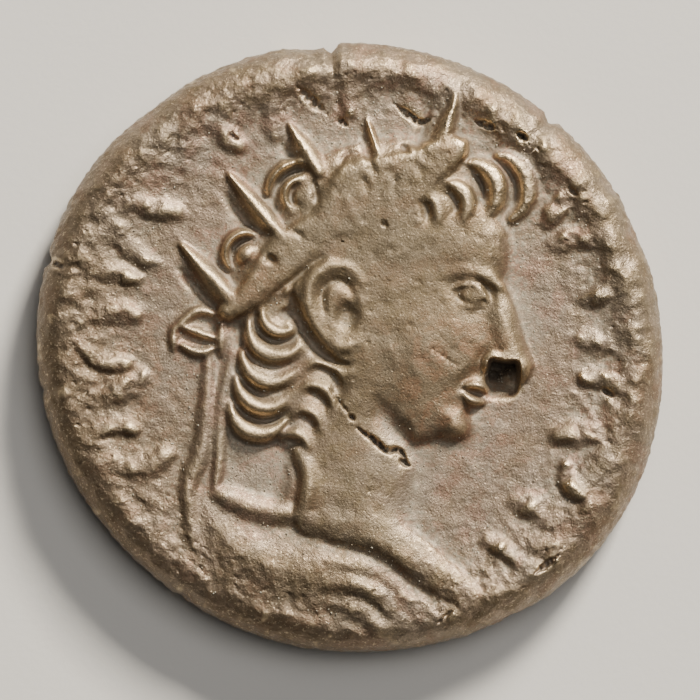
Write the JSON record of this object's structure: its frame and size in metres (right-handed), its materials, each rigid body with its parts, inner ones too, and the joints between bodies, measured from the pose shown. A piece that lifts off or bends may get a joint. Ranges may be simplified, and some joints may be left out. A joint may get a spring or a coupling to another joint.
{
  "type": "ancient silver coin (tetradrachm)",
  "caption": "Thick, worn ancient silver coin with a crowned head in relief, a rounded irregular edge, a deep corrosion pit and a cracked edge.",
  "frame": {"origin": "under the middle of the coin's box, on the surface it rests on", "axes": "+Z out of the side with the head, +Y towards the top of the head's side, +X to the right, the way the head faces"},
  "size_m": [0.025, 0.0244, 0.004],
  "materials": {
    "billon": "worn grey-brown billon with a dull metallic sheen, darker in the hollows"
  },
  "bodies": {
    "root": {"tetradrachm": "billon"}
  },
  "joints": []
}
